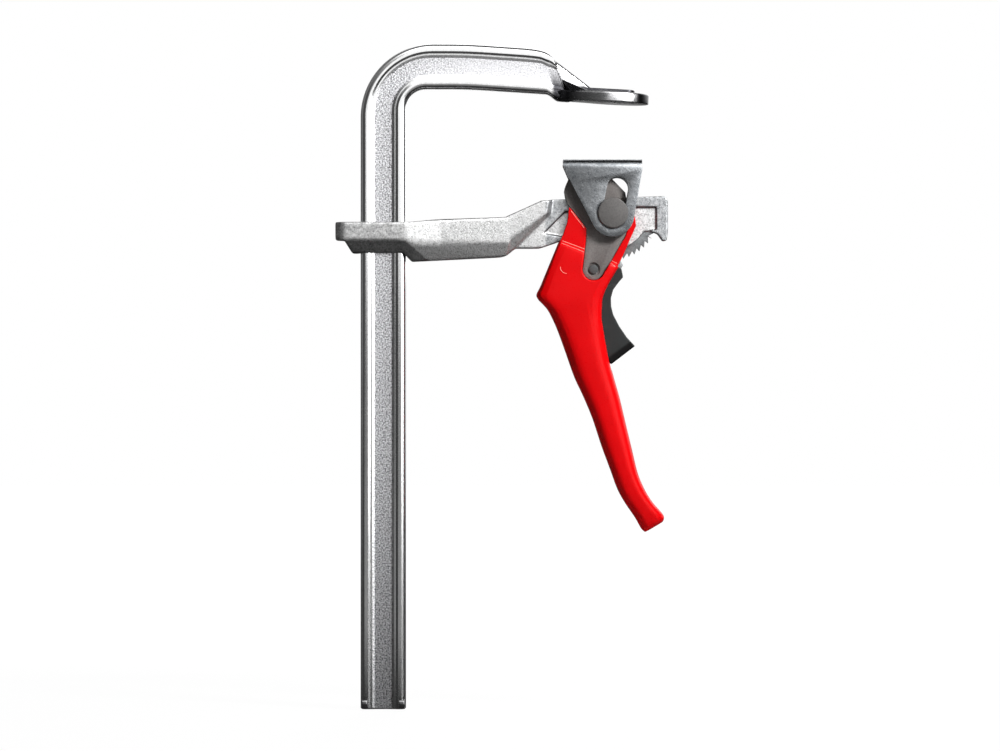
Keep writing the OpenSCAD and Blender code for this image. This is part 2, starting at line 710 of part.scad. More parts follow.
// Wound leg spring on the sleeve, in front of the pawl
spring_turns = 2;
spring_steps = 16;
spring_sides = 6;
module trigger_spring() {
    coil_r = trigger_bush_d / 2 + 0.15 + spring_d / 2;
    y0 = -hub_w / 2 + spring_d / 2 + 0.05;
    pitch = spring_d + 0.06;
    n = spring_turns * spring_steps;
    function coil(i) = let (a = 360 * i / spring_steps)
        [coil_r * cos(a), y0 + pitch * i / spring_steps, coil_r * sin(a)];
    points = [for (i = [0:n]) for (j = [0:spring_sides - 1])
        let (a = 360 * i / spring_steps, b = 360 * j / spring_sides, c = coil(i))
            c + spring_d / 2 * [cos(b) * cos(a), sin(b), cos(b) * sin(a)]];
    color([0.7, 0.7, 0.7]) at_pivot() translate([trigger_at[0], 0, trigger_at[1]])
        polyhedron(points = points, faces = concat(
            [[for (j = [spring_sides - 1:-1:0]) j]],
            [for (i = [0:n - 1]) for (j = [0:spring_sides - 1])
                let (a = i * spring_sides + j, b = i * spring_sides + (j + 1) % spring_sides)
                    each [[a, b + spring_sides, a + spring_sides], [a, b, b + spring_sides]]],
            [[for (j = [0:spring_sides - 1]) n * spring_sides + j]]));
}

rail();
sliding_arm();
ratchet_segment();
ratchet_rivets();
pivot_bush();
pivot_pin();
pivot_washer();
pressure_plate();
cam_plate_front();
cam_plate_rear();
grip();
trigger_pin();
trigger_bush();
pawl();
trigger();
trigger_spring();
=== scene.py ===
import math

import bmesh
import bpy
import numpy as np
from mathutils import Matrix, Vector, noise
from mathutils.bvhtree import BVHTree


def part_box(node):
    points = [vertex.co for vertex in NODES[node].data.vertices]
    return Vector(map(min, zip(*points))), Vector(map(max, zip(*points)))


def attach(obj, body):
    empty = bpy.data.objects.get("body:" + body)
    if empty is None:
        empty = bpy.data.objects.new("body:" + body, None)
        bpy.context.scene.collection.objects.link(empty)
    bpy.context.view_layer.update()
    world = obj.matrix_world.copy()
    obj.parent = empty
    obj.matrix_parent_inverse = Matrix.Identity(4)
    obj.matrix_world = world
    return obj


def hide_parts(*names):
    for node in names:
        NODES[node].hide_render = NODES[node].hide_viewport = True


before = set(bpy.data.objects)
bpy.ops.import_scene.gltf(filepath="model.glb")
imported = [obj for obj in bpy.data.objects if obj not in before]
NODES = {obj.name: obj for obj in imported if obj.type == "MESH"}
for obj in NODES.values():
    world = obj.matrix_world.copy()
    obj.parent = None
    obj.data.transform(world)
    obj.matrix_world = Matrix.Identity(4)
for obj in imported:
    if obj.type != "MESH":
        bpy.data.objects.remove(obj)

# Lengths below are in millimetres unless a name says otherwise
MM = 0.001


def node_corner(node, corner):
    """The low (0) or high (1) corner of a CAD node's box."""
    return np.array(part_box(node)[corner]) / MM


bpy.context.view_layer.update()

# The photograph's view: level, square on, from the front
CAMERA_AT = (50.5, -2000, 144.2)
LENS_MM = 166.3
SENSOR_MM = 36

# The rail: its half width and thickness, and the clamp's height
RAIL_LOW, RAIL_HIGH = node_corner("rail", 0), node_corner("rail", 1)
RAIL_HALF_W = -RAIL_LOW[0]
RAIL_HALF_T = 4.75
CLAMP_H = RAIL_HIGH[2]

# The bend: its inner radius, and its outer radius beyond that in widths of the rail
BEND_R = 8.7
BEND_GROW = 1.18

# The bar runs level for LEVEL_L, turns down over DROOP_L, and then droops straight to its end
LEVEL_L, DROOP_L = 6.2, 16
BAR_L = 50.5
BAR_DROOP = math.radians(3.8)
BAR_END_HALF = 9.65

# Towards the jaw the bar's top dips, and its foot reaches ahead and sinks
DIP_L, DIP = 14, 2.8
FOOT_REACH, FOOT_SINK = 8, 2.7
FOOT_SINK_FROM, FOOT_SINK_L = 70.3, 5.5

# The jaw's tilted pad, and the middle of its face
THROAT = 85
PAD_L = 40
PAD_W = RAIL_HIGH[1] - RAIL_LOW[1]
PAD_T = 4.3
PAD_NECK_W = 17
PAD_TILT = math.radians(3.1)
JAW_X = RAIL_HALF_W + THROAT
PAD_Z = CLAMP_H - 25.2


# Mesh helpers

def collect(name, bm):
    """A new object named name that holds the bmesh, in metres."""
    mesh = bpy.data.meshes.new(name)
    bm.to_mesh(mesh)
    bm.free()
    obj = bpy.data.objects.new(name, mesh)
    bpy.context.scene.collection.objects.link(obj)
    return obj


def from_points(name, points, faces):
    """A new object from points in millimetres."""
    mesh = bpy.data.meshes.new(name)
    mesh.from_pydata([tuple(np.array(p) * MM) for p in points], [], faces)
    bm = bmesh.new()
    bm.from_mesh(mesh)
    bmesh.ops.recalc_face_normals(bm, faces=bm.faces)
    bpy.data.meshes.remove(mesh)
    return collect(name, bm)


def loft(name, rings):
    """A closed skin over rings that all have the same number of points."""
    n = len(rings[0])
    points = [p for ring in rings for p in ring]
    faces = [list(range(n)), [(len(rings) - 1) * n + j for j in range(n)]]
    for i in range(len(rings) - 1):
        for j in range(n):
            k = (j + 1) % n
            faces.append([i * n + j, i * n + k, (i + 1) * n + k, (i + 1) * n + j])
    return from_points(name, points, faces)


def apply_modifiers(obj):
    """Bakes the modifiers into the mesh."""
    graph = bpy.context.evaluated_depsgraph_get()
    mesh = bpy.data.meshes.new_from_object(obj.evaluated_get(graph))
    obj.modifiers.clear()
    old = obj.data
    obj.data = mesh
    bpy.data.meshes.remove(old)
    return obj


WELD = 0.002                    # points closer than this are one
FLAT = math.radians(0.5)        # faces that meet at less than this are one


def copy_of(node, name, whole_faces=False):
    """A welded copy of a CAD node's mesh, with its flat faces made whole where asked."""
    bm = bmesh.new()
    bm.from_mesh(NODES[node].data)
    bmesh.ops.remove_doubles(bm, verts=bm.verts, dist=WELD * MM)
    if whole_faces:
        bmesh.ops.scale(bm, vec=(1 / MM,) * 3, verts=bm.verts)
        bmesh.ops.dissolve_limit(bm, angle_limit=FLAT, verts=bm.verts, edges=bm.edges)
        bmesh.ops.scale(bm, vec=(MM,) * 3, verts=bm.verts)
    return collect(name, bm)


def voxel_remesh(obj, voxel):
    """A new skin of even cells of about voxel millimetres."""
    obj.data.remesh_voxel_size = voxel * MM
    modifier = obj.modifiers.new("remesh", "REMESH")
    modifier.mode = "VOXEL"
    modifier.voxel_size = voxel * MM
    return apply_modifiers(obj)


def smooth(obj, rounds, factor=0.5, group=""):
    """Draws each point towards its neighbours, in a vertex group alone where one is named."""
    modifier = obj.modifiers.new("smooth", "SMOOTH")
    modifier.vertex_group = group
    modifier.iterations = rounds
    modifier.factor = factor
    return apply_modifiers(obj)


def bevel(obj, width, segments=2, angle=30):
    """Rounds the edges that are sharper than angle."""
    modifier = obj.modifiers.new("bevel", "BEVEL")
    modifier.width = width * MM
    modifier.segments = segments
    modifier.limit_method = "ANGLE"
    modifier.angle_limit = math.radians(angle)
    modifier.harden_normals = False
    return apply_modifiers(obj)


def union(obj, other):
    """Adds other to obj as one skin, and deletes other."""
    modifier = obj.modifiers.new("union", "BOOLEAN")
    modifier.operation = "UNION"
    modifier.solver = "EXACT"
    modifier.object = other
    apply_modifiers(obj)
    bpy.data.objects.remove(other)
    return obj


def shade(obj, angle=35):
    """Smooth shading that keeps edges sharper than angle."""
    for polygon in obj.data.polygons:
        polygon.use_smooth = True
    obj.data.set_sharp_from_angle(angle=math.radians(angle))
    return obj


def roughen(obj, height, size):
    """Moves each point along its normal by smooth noise, as a forging's skin does."""
    mesh = obj.data
    places = np.empty(3 * len(mesh.vertices), np.float32)
    normals = np.empty_like(places)
    mesh.vertices.foreach_get("co", places)
    mesh.vertices.foreach_get("normal", normals)
    places, normals = places.reshape(-1, 3), normals.reshape(-1, 3)
    waves = np.array([noise.noise(Vector(p)) for p in places / (size * MM)], np.float32)
    places += normals * waves[:, None] * height * MM
    mesh.vertices.foreach_set("co", places.ravel())
    mesh.update()
    return obj


def keep_within(obj, node):
    """Moves the few points that stand outside a CAD node's box back to its faces."""
    mesh = obj.data
    places = np.empty(3 * len(mesh.vertices), np.float32)
    mesh.vertices.foreach_get("co", places)
    low, high = (node_corner(node, corner) * MM for corner in (0, 1))
    mesh.vertices.foreach_set("co", np.clip(places.reshape(-1, 3), low, high).ravel())
    mesh.update()


def mark(obj, name, values):
    """Gives each point of the mesh a value from 0 to 1 that its material reads."""
    obj.data.attributes.new(name, "FLOAT", "POINT").data.foreach_set("value", values)


# Outline helpers

def arc(cx, cy, r, a0, a1, n):
    """Points along an arc, angles in degrees."""
    angles = np.radians(np.linspace(a0, a1, n + 1))
    return [np.array((cx + r * math.cos(a), cy + r * math.sin(a))) for a in angles]


STRAIGHT = math.radians(89.5)   # half the angle at which a corner counts as straight
STRAIGHT_SHARE = 0.4            # of a side, which its points may then take up
CORNER_SHARE = 0.96             # of a side, which two roundings may take up together


def rounded(corners, steps=3):
    """A closed outline whose corners (x, y, radius) are rounded."""
    out = []
    n = len(corners)
    for i, (x, y, r) in enumerate(corners):
        p = np.array((x, y), float)
        a = np.array(corners[i - 1][:2], float) - p
        b = np.array(corners[(i + 1) % n][:2], float) - p
        la, lb = np.linalg.norm(a), np.linalg.norm(b)
        a, b = a / la, b / lb
        half = math.acos(max(-1, min(1, float(a @ b)))) / 2
        count = steps if r < 1 else 3 * steps
        if half > STRAIGHT:
            reach = min(r, STRAIGHT_SHARE * la, STRAIGHT_SHARE * lb)
            out += [p + b * reach * (2 * k / count - 1) for k in range(count + 1)]
            continue
        share_a = r / (r + corners[i - 1][2])
        share_b = r / (r + corners[(i + 1) % n][2])
        reach = min(r / math.tan(half), CORNER_SHARE * la * share_a, CORNER_SHARE * lb * share_b)
        radius = reach * math.tan(half)
        middle = p + (a + b) / np.linalg.norm(a + b) * (radius / math.sin(half))
        start, end = p + a * reach - middle, p + b * reach - middle
        turn = math.atan2(start[0] * end[1] - start[1] * end[0], float(start @ end))
        for k in range(count + 1):
            t = turn * k / count
            c, s = math.cos(t), math.sin(t)
            out.append(middle + (start[0] * c - start[1] * s, start[0] * s + start[1] * c))
    return out


def smoothstep(t):
    """Rises from 0 to 1 as t does, without a kink."""
    t = max(0.0, min(1.0, t))
    return t * t * (3 - 2 * t)


# The rail: one section swept up the rail, round the bend and along the bar

# The section from its edge inwards: rib, slope, ledge in the slope, and sunk flat
RIB_EDGE_R, RIB_EDGE_R_LEAST = 2.3, 1
GROOVE_DEPTH = 1
GROOVE_OUTER, GROOVE_INNER = 6.45, 3.65
LEDGE_OUTER, LEDGE_INNER, LEDGE_DEPTH, LEDGE_FALL = 5.5, 4.8, 0.5, 0.04
GROOVE_R, LEDGE_R = 0.3, 0.12
# Where there is no groove, its points draw in to this share of their place
PLAIN_SHARE = 0.35
# The rail's lower end is drawn in by this much
END_BEVEL = 0.5
# Stations up the rail, round the bend, along the bar and in its dip
RAIL_N, BEND_N, BAR_N, DIP_N = 24, 48, 16, 24
RAIL_ANGLE = 28
# Stations of the web beyond the bar's end: share of the way, half thickness, groove share
WEB_STATIONS = ((0.01, 4.7, 0.8), (0.025, 4.5, 0.45), (0.04, 4.2, 0.15), (0.055, 3.8, 0),
                (0.07, 3.35, 0), (0.085, 3.05, 0), (0.25, 2.75, 0), (0.5, 2.3, 0),
                (0.75, 1.85, 0), (0.92, 1.5, 0), (1, 1.3, 0))
WEB_END_X = JAW_X - 3.3
WEB_END_TOP, WEB_END_FOOT = PAD_Z + PAD_T + 1.4, PAD_Z + 2
# The web's top steps down by this much at once, at this rate
WEB_STEP, WEB_STEP_RATE = 0.6, 12


def rail_section(half_w, thickness, groove):
    """Outline (across, thick) of the rail's section, with the groove's share from 0 to 1."""
    s = half_w / RAIL_HALF_W * (1 if groove else PLAIN_SHARE)
    edge_r = max(RIB_EDGE_R_LEAST, min(RIB_EDGE_R, 0.95 * thickness))
    half = [(half_w, 0, edge_r), (GROOVE_OUTER * s, 0, GROOVE_R),
            (LEDGE_OUTER * s, LEDGE_DEPTH, LEDGE_R),
            (LEDGE_INNER * s, LEDGE_DEPTH + LEDGE_FALL, LEDGE_R),
            (GROOVE_INNER * s, GROOVE_DEPTH, GROOVE_R)]
    front = [(across, depth * groove - thickness, r) for across, depth, r in half]
    front += [(-across, y, r) for across, y, r in reversed(front)]
    back = [(across, -y, r) for across, y, r in reversed(front)]
    return rounded(front + back)


def bar_point(bar_x, l, off):
    """The point l along the bar from bar_x, and off above its middle line."""
    turned = min(max(l - LEVEL_L, 0), DROOP_L)
    fall = turned ** 2 / (2 * DROOP_L) + max(l - LEVEL_L - DROOP_L, 0)
    lean = BAR_DROOP * turned / DROOP_L
    z = CLAMP_H - RAIL_HALF_W - math.tan(BAR_DROOP) * fall
    return np.array((bar_x + l + off * math.sin(lean), z + off * math.cos(lean)))


def rail_stations():
    """Outer point, inner point, half thickness and groove share, from the foot to the jaw."""
    foot_half = RAIL_HALF_W - END_BEVEL
    stations = [((-foot_half, 0), (foot_half, 0), RAIL_HALF_T - END_BEVEL, 1)]
    outer_r = BEND_R + 2 * BEND_GROW * RAIL_HALF_W
    bar_x = outer_r - RAIL_HALF_W
    outer_z = CLAMP_H - outer_r
    for z in [END_BEVEL] + list(np.linspace(6, outer_z - 1, RAIL_N)):
        stations.append(((-RAIL_HALF_W, z), (RAIL_HALF_W, z), RAIL_HALF_T, 1))
    inner_z = CLAMP_H - 2 * RAIL_HALF_W - BEND_R
    outer = arc(bar_x, outer_z, outer_r, 180, 90, BEND_N)
    inner = arc(BEND_R + RAIL_HALF_W, inner_z, BEND_R, 180, 90, BEND_N)
    stations += [(tuple(o), tuple(i), RAIL_HALF_T, 1) for o, i in zip(outer, inner)]

    dip_from = BAR_L - DIP_L
    for l in [*np.linspace(2, dip_from, BAR_N), *np.linspace(dip_from + 0.8, BAR_L, DIP_N)]:
        half = RAIL_HALF_W + (BAR_END_HALF - RAIL_HALF_W) * l / BAR_L
        t = (l - dip_from) / DIP_L
        drop = 0 if t < 0 else DIP * (0.35 * t * t + 0.65 * t ** 6)
        top = bar_point(bar_x, l, half - drop)
        foot = bar_point(bar_x, l + FOOT_REACH * smoothstep(t), -half)
        foot = foot - (0, FOOT_SINK * smoothstep((foot[0] - FOOT_SINK_FROM) / FOOT_SINK_L))
        stations.append((tuple(top), tuple(foot), RAIL_HALF_T, 1))

    web_top, web_foot = np.array((WEB_END_X, WEB_END_TOP)), np.array((WEB_END_X, WEB_END_FOOT))
    for t, half_t, groove in WEB_STATIONS:
        step = (0, min(WEB_STEP, WEB_STEP_RATE * t))
        stations.append((tuple(top + (web_top - top) * t - step),
                         tuple(foot + (web_foot - foot) * t), half_t, groove))
    return stations


def rail_rings():
    """The rail's section set up at each station."""
    rings = []
    for outer, inner, thickness, groove in rail_stations():
        outer, inner = np.array(outer), np.array(inner)
        half_w = np.linalg.norm(inner - outer) / 2
        ring = []
        for across, y in rail_section(half_w, thickness, groove):
            p = outer + (inner - outer) * (across + half_w) / (2 * half_w)
            ring.append((p[0], y, p[1]))
        rings.append(ring)
    return rings


def pad_place(x, y, z):
    """A point of the jaw pad's own frame, whose face is z = 0, in the clamp's frame."""
    c, s = math.cos(PAD_TILT), math.sin(PAD_TILT)
    return (JAW_X + x * c + z * s, y, PAD_Z - x * s + z * c)


def two_circles(x0, r0, x1, r1, inset, n=40):
    """Outline round two circles on the x axis, drawn in by inset."""
    lean = 90 + math.degrees(math.asin((r1 - r0) / (x1 - x0)))
    return (arc(x1, 0, r1 - inset, -lean, lean, n)
            + arc(x0, 0, r0 - inset, lean, 360 - lean, n // 2))


def slab_with_round_edges(name, x0, r0, x1, r1, z0, z1, top_r, foot_r, top_n=6, foot_n=4):
    """A slab on the pad round two circles, from z0 to z1, with rounded edges."""
    levels = []
    for k in range(foot_n + 1):
        a = math.radians(90 * k / foot_n)
        levels.append((z0 + foot_r * (1 - math.cos(a)), foot_r * (1 - math.sin(a))))
    for k in range(top_n + 1):
        a = math.radians(90 * k / top_n)
        levels.append((z1 - top_r * (1 - math.sin(a)), top_r * (1 - math.cos(a))))
    rings = [[pad_place(p[0], p[1], z) for p in two_circles(x0, r0, x1, r1, inset)]
             for z, inset in levels]
    return loft(name, rings)


def hull_of(name, points):
    """The convex hull of points in millimetres."""
    bm = bmesh.new()
    for p in points:
        bm.verts.new(np.array(p) * MM)
    result = bmesh.ops.convex_hull(bm, input=bm.verts)
    bmesh.ops.delete(bm, geom=[g for g in result["geom_interior"]
                               if isinstance(g, bmesh.types.BMVert)], context="VERTS")
    return collect(name, bm)


# A rib's middle from the rail's edge, and half the thickness over the peened ribs
RIB_MIDDLE = 1.75
PEEN_HALF_T = 5.25
# Levels of a peened rib: height, half thickness and half width, and those of its core
PEEN_LEVELS = ((0.3, PEEN_HALF_T - 0.1, 0.75), (0.9, PEEN_HALF_T, 1.1),
               (3.6, PEEN_HALF_T, 1.05), (3.95, 4.6, 0.9))
PEEN_CORE = ((0.15, 4.3, 1.25), (4, 4.3, 1.25))
PEEN_BEVEL, PEEN_BEVEL_ANGLE = 0.12, 20


def peened_rib(side):
    """The rail's rib at the foot, squeezed wider so that the arm can't slide off."""
    x = side * (RAIL_HALF_W - RIB_MIDDLE)
    rib = hull_of("peened_rib", [(x + dx, y, z) for z, half_t, half_w in PEEN_LEVELS + PEEN_CORE
                                 for dx in (-half_w, half_w) for y in (-half_t, half_t)])
    return bevel(rib, PEEN_BEVEL, 2, PEEN_BEVEL_ANGLE)


# The rounding of the pad's edges, and the rib on its top: x and radius at either end, height,
# and how deep it is sunk
PAD_TOP_R, PAD_FOOT_R = 1, 0.45
PAD_RIB = (-PAD_L / 2 + 9.5, 3.4, 10.3, 3.5)
PAD_RIB_H, PAD_RIB_SUNK, PAD_RIB_TOP_R, PAD_RIB_FOOT_R = 1.7, 1, 0.7, 0.1
# The gusset's flank: points (x, half width, z) on the web, and x and half width on the pad
FLANK = ((76, 2.6, 273), (80, 3.4, 266), (JAW_X - 6, 1.6, 267.4))
FLANK_FOOT_X, FLANK_FOOT_HALF, FLANK_FOOT_Z = (-14, -5), 9.5, PAD_T - 0.5
# The neck, from the bar's end (x, z) to a ring round the pad's narrow end
NECK_BACK, NECK_HALF = ((73, 267), (79, 268)), 3.6
NECK_RING = arc(PAD_NECK_W / 2 - PAD_L / 2 + 0.6, 0, PAD_NECK_W / 2 - 0.7, 0, 345, 23)
NECK_RING_Z = (0.9, PAD_T - 0.3)
BLEND_VOXEL, BLEND_ROUNDS = 0.3, 12


def make_jaw_blend():
    """The gusset's flanks and the neck, run together into the soft root of the jaw."""
    flank = [(x, y, z) for x, half, z in FLANK for y in (-half, half)]
    flank += [pad_place(x, y, FLANK_FOOT_Z) for x in FLANK_FOOT_X
              for y in (-FLANK_FOOT_HALF, FLANK_FOOT_HALF)]
    neck = [(x, y, z) for y in (-NECK_HALF, NECK_HALF) for x, z in NECK_BACK]
    neck += [pad_place(p[0], p[1], z) for z in NECK_RING_Z for p in NECK_RING]
    blend = union(hull_of("blend", flank), hull_of("neck", neck))
    return smooth(voxel_remesh(blend, BLEND_VOXEL), BLEND_ROUNDS)


def make_rail():
    """The rail, bend, bar and fixed jaw as one forging."""
    rail = loft("rail_and_fixed_jaw", rail_rings())
    front = PAD_W / 2
    pad = slab_with_round_edges("pad", PAD_NECK_W / 2 - PAD_L / 2, PAD_NECK_W / 2,
                                PAD_L / 2 - front, front, 0, PAD_T, PAD_TOP_R, PAD_FOOT_R)
    rib = slab_with_round_edges("rib", *PAD_RIB, PAD_T - PAD_RIB_SUNK, PAD_T + PAD_RIB_H,
                                PAD_RIB_TOP_R, PAD_RIB_FOOT_R)
    for other in [pad, rib, make_jaw_blend()] + [peened_rib(side) for side in (-1, 1)]:
        union(rail, other)
    return shade(rail, RAIL_ANGLE)


# Pieces that start from the CAD solid and get their forged or moulded skin

ARM_VOXEL, GRIP_VOXEL, TRIGGER_VOXEL = 0.34, 0.32, 0.3
ARM_ROUNDS, BODY_ROUNDS, GRIP_ROUNDS, TRIGGER_ROUNDS = 4, 22, 5, 4
# Short of this X the arm is smoothed more, because its thin end has sharper edges
ARM_BODY_TO = 68
# The forging's waves: height and size
WAVE_HEIGHT, WAVE_SIZE = 0.035, 2.4
SKIN_ANGLE = 60


def make_arm():
    """The sliding arm with a forging's soft edges and skin."""
    arm = copy_of("sliding_arm", "sliding_arm_forging")
    voxel_remesh(arm, ARM_VOXEL)
    smooth(arm, ARM_ROUNDS)
    body = arm.vertex_groups.new(name="body")
    body.add([v.index for v in arm.data.vertices if v.co.x / MM < ARM_BODY_TO], 1, "REPLACE")
    smooth(arm, BODY_ROUNDS, group="body")
    arm.vertex_groups.clear()
    roughen(arm, WAVE_HEIGHT, WAVE_SIZE)
    keep_within(arm, "sliding_arm")
    return shade(arm, SKIN_ANGLE)


# Lines moulded on the grip's front, as (x, z): along the edges of its steps, and one arc
STEP_LINES = (((81.1, 215.2), (86.7, 207.9)), ((77.4, 202.3), (87, 198.7)),
              ((77.1, 201.2), (86.8, 197.4)), ((98.4, 193.8), (100.9, 192.6)),
              ((97.8, 192.9), (100.1, 191.2)))
ARC_MARK = (79.1, 190.8, 2.6, 175, 275, 16)
LINE_W, LINE_RISE, LINE_SUNK = 0.3, 0.07, 0.3
LINE_POINTS = 24
# The lines are looked for from here, in front of the clamp
FRONT_Y = -60


def raised_line(tree, path):
    """A thin line that stands proud of the front of a surface along path, in (x, z)."""
    hits = [tree.ray_cast(Vector((x, FRONT_Y, z)) * MM, Vector((0, 1, 0)))[0] for x, z in path]
    path = [p for p, hit in zip(path, hits) if hit]
    profile = ((-1, LINE_SUNK), (-1, 0), (-0.5, -LINE_RISE), (0.5, -LINE_RISE), (1, 0),
               (1, LINE_SUNK))
    rings = []
    for i, ((x, z), hit) in enumerate(zip(path, [hit for hit in hits if hit])):
        along = path[min(i + 1, len(path) - 1)] - path[max(i - 1, 0)]
        side = np.array((-along[1], along[0])) / np.linalg.norm(along) * LINE_W / 2
        y = hit.y / MM
        rings.append([(x + side[0] * k, y + lift, z + side[1] * k) for k, lift in profile])
    return loft("raised_line", rings)


def make_grip():
    """The moulded grip with its raised lines, which are marked for their painted highlight."""
    grip = copy_of("grip", "grip_moulding")
    voxel_remesh(grip, GRIP_VOXEL)
    smooth(grip, GRIP_ROUNDS)
    tree = BVHTree.FromObject(grip, bpy.context.evaluated_depsgraph_get())
    paths = [np.linspace(a, b, LINE_POINTS) for a, b in STEP_LINES]
    paths.append(arc(*ARC_MARK))
    bm = bmesh.new()
    bm.from_mesh(grip.data)
    base = len(bm.verts)
    for path in paths:
        line = raised_line(tree, path)
        bm.from_mesh(line.data)
        bpy.data.objects.remove(line)
    count = len(bm.verts)
    bm.to_mesh(grip.data)
    bm.free()
    # The raised lines' points are marked for their painted highlight
    mark(grip, "line", [float(i >= base) for i in range(count)])
    return shade(grip, SKIN_ANGLE)


def make_trigger():
    """The trigger's moulding with soft edges."""
    trigger = copy_of("trigger", "trigger_moulding")
    voxel_remesh(trigger, TRIGGER_VOXEL)
    smooth(trigger, TRIGGER_ROUNDS)
    return shade(trigger, SKIN_ANGLE)


# The folded plate's edges are rounded where they are sharper than its fold's facets
PLATE_BEVEL, PLATE_ANGLE = 0.35, 32


def make_plate():
    """The folded pressure plate with rounded edges."""
    plate = copy_of("pressure_plate", "folded_pressure_plate", True)
    bevel(plate, PLATE_BEVEL, 3, PLATE_ANGLE)
    return shade(plate, PLATE_ANGLE)


# Material helpers

# Specular levels of skins that shine little, where 0.5 is usual
MATT, SATIN = 0.12, 0.08


def rgb(tone):
    """A colour from a grey level, or the colour itself."""
    return (tone,) * 3 if isinstance(tone, (int, float)) else tone


class Look:
    """A material with its shader, and short ways to add nodes to it."""

    def __init__(self, name, colour, metallic, roughness, specular=0.5):
        self.material = bpy.data.materials.new(name)
        self.material.use_nodes = True
        self.tree = self.material.node_tree
        self.shader = self.tree.nodes["Principled BSDF"]
        self.shader.inputs["Base Color"].default_value = (*rgb(colour), 1)
        self.shader.inputs["Metallic"].default_value = metallic
        self.shader.inputs["Roughness"].default_value = roughness
        self.shader.inputs["Specular IOR Level"].default_value = specular
        self.place = self.node("ShaderNodeTexCoord").outputs["Object"]

    def node(self, kind, **values):
        """A new node with its settings."""
        n = self.tree.nodes.new(kind)
        for key, value in values.items():
            setattr(n, key, value)
        return n

    def link(self, a, b):
        self.tree.links.new(a, b)

    def stretched(self, scale):
        """Object coordinates scaled on each axis."""
        mapping = self.node("ShaderNodeMapping")
        mapping.inputs["Scale"].default_value = scale
        self.link(self.place, mapping.inputs["Vector"])
        return mapping.outputs["Vector"]

    def noise(self, size, detail=3, rough=0.6, vector=None):
        """Noise from 0 to 1 with grains of about size millimetres."""
        n = self.node("ShaderNodeTexNoise")
        n.inputs["Scale"].default_value = 1 / (size * MM)
        n.inputs["Detail"].default_value = detail
        n.inputs["Roughness"].default_value = rough
        self.link(vector or self.place, n.inputs["Vector"])
        return n.outputs["Fac"]

    def ramp(self, value, stops):
        """Maps a value through stops of (place, colour or number)."""
        n = self.node("ShaderNodeValToRGB")
        elements = n.color_ramp.elements
        while len(elements) < len(stops):
            elements.new(0.5)
        for element, (at, c) in zip(elements, stops):
            element.position = at
            element.color = (*rgb(c), 1)
        self.link(value, n.inputs["Fac"])
        return n.outputs["Color"]

    def mix(self, share, a, b, blend="MIX"):
        """Colour a where share is 0 and b where it is 1."""
        n = self.node("ShaderNodeMix", data_type="RGBA", blend_type=blend)
        self.put(n.inputs[0], share)
        self.put(n.inputs[6], a)
        self.put(n.inputs[7], b)
        return n.outputs[2]

    def multiply(self, a, b):
        return self.mix(1, a, b, "MULTIPLY")

    def put(self, socket, value):
        """Links a socket, or sets a number or a colour, where a number is a grey."""
        if isinstance(value, bpy.types.NodeSocket):
            self.link(value, socket)
        elif socket.type == "RGBA":
            socket.default_value = (*rgb(value), 1)
        else:
            socket.default_value = value

    def math(self, operation, a, b=0.0):
        n = self.node("ShaderNodeMath", operation=operation)
        self.put(n.inputs[0], a)
        self.put(n.inputs[1], b)
        return n.outputs[0]

    def axes(self):
        """The object coordinates as X, Y and Z, in metres."""
        split = self.node("ShaderNodeSeparateXYZ")
        self.link(self.place, split.inputs[0])
        return split.outputs

    def attribute(self, name):
        """The marks that mark wrote under this name, or 0 where there are none."""
        return self.node("ShaderNodeAttribute", attribute_name=name).outputs["Fac"]

    def bump(self, height, distance, strength=1.0, normal=None):
        """Distance is the height in millimetres from black to white."""
        n = self.node("ShaderNodeBump")
        n.inputs["Strength"].default_value = strength
        n.inputs["Distance"].default_value = distance * MM
        self.link(height, n.inputs["Height"])
        if normal:
            self.link(normal, n.inputs["Normal"])
        return n.outputs["Normal"]

    def colour(self, socket):
        self.link(socket, self.shader.inputs["Base Color"])

    def roughness(self, socket):
        self.link(socket, self.shader.inputs["Roughness"])

    def normal(self, socket):
        self.link(socket, self.shader.inputs["Normal"])


# Metres up the rail over which the painted shade at its foot fades out, and along the bar over
# which the recess turns paler
FOOT_SPAN, BAR_SPAN = 0.25, 0.1


def plated_steel():
    """Bright zinc over drawn ribs, with a blasted, salt-and-pepper recess.

    The recess has painted shade that darkens it towards the rail's foot, and it is paler along
    the bar; the jaw's skin has near-black painted shade.
    """
    look = Look("plated_steel", (0.8, 0.8, 0.81), 1, 0.2)
    grain = look.noise(0.62, 2, 0.75)
    cloud = look.noise(9, 3, 0.5)
    streaks = look.noise(1.2, 2, 0.6, look.stretched((1, 1, 0.06)))
    blast = look.attribute("blast")
    pepper = look.ramp(grain, [(0.38, (0.09, 0.09, 0.1)), (0.48, (0.5, 0.5, 0.52)),
                               (0.58, (0.92, 0.92, 0.94))])
    along, _, up = look.axes()
    # Painted shade: the recess darker towards the rail's foot
    foot = look.ramp(look.math("MULTIPLY", up, 1 / FOOT_SPAN),
                     [(0.0, 0.66), (0.16, 0.84), (0.4, 1.0)])
    bar = look.ramp(look.math("MULTIPLY", along, 1 / BAR_SPAN), [(0.05, 0.0), (0.4, 0.62)])
    pepper = look.mix(bar, look.multiply(pepper, foot), (0.78, 0.78, 0.8))
    clean = look.ramp(streaks, [(0.3, 0.74), (0.7, 0.88)])
    clouded = look.mix(look.ramp(cloud, [(0.35, 0.0), (0.7, 0.25)]), clean, (0.7, 0.71, 0.74))
    skin = look.mix(blast, clouded, pepper)
    # Painted shade on the jaw: where it is marked, the skin goes near black
    dark = look.multiply(pepper, (0.07, 0.07, 0.075))
    look.colour(look.mix(look.attribute("jaw"), skin, dark))
    look.roughness(look.ramp(blast, [(0, 0.17), (1, 0.34)]))
    calm = look.math("SUBTRACT", 0.94, look.math("MULTIPLY", bar, 0.5))
    weight = look.math("ADD", look.math("MULTIPLY", blast, calm), 0.06)
    look.normal(look.bump(look.math("MULTIPLY", grain, weight), 0.1, 1))
    return look.material


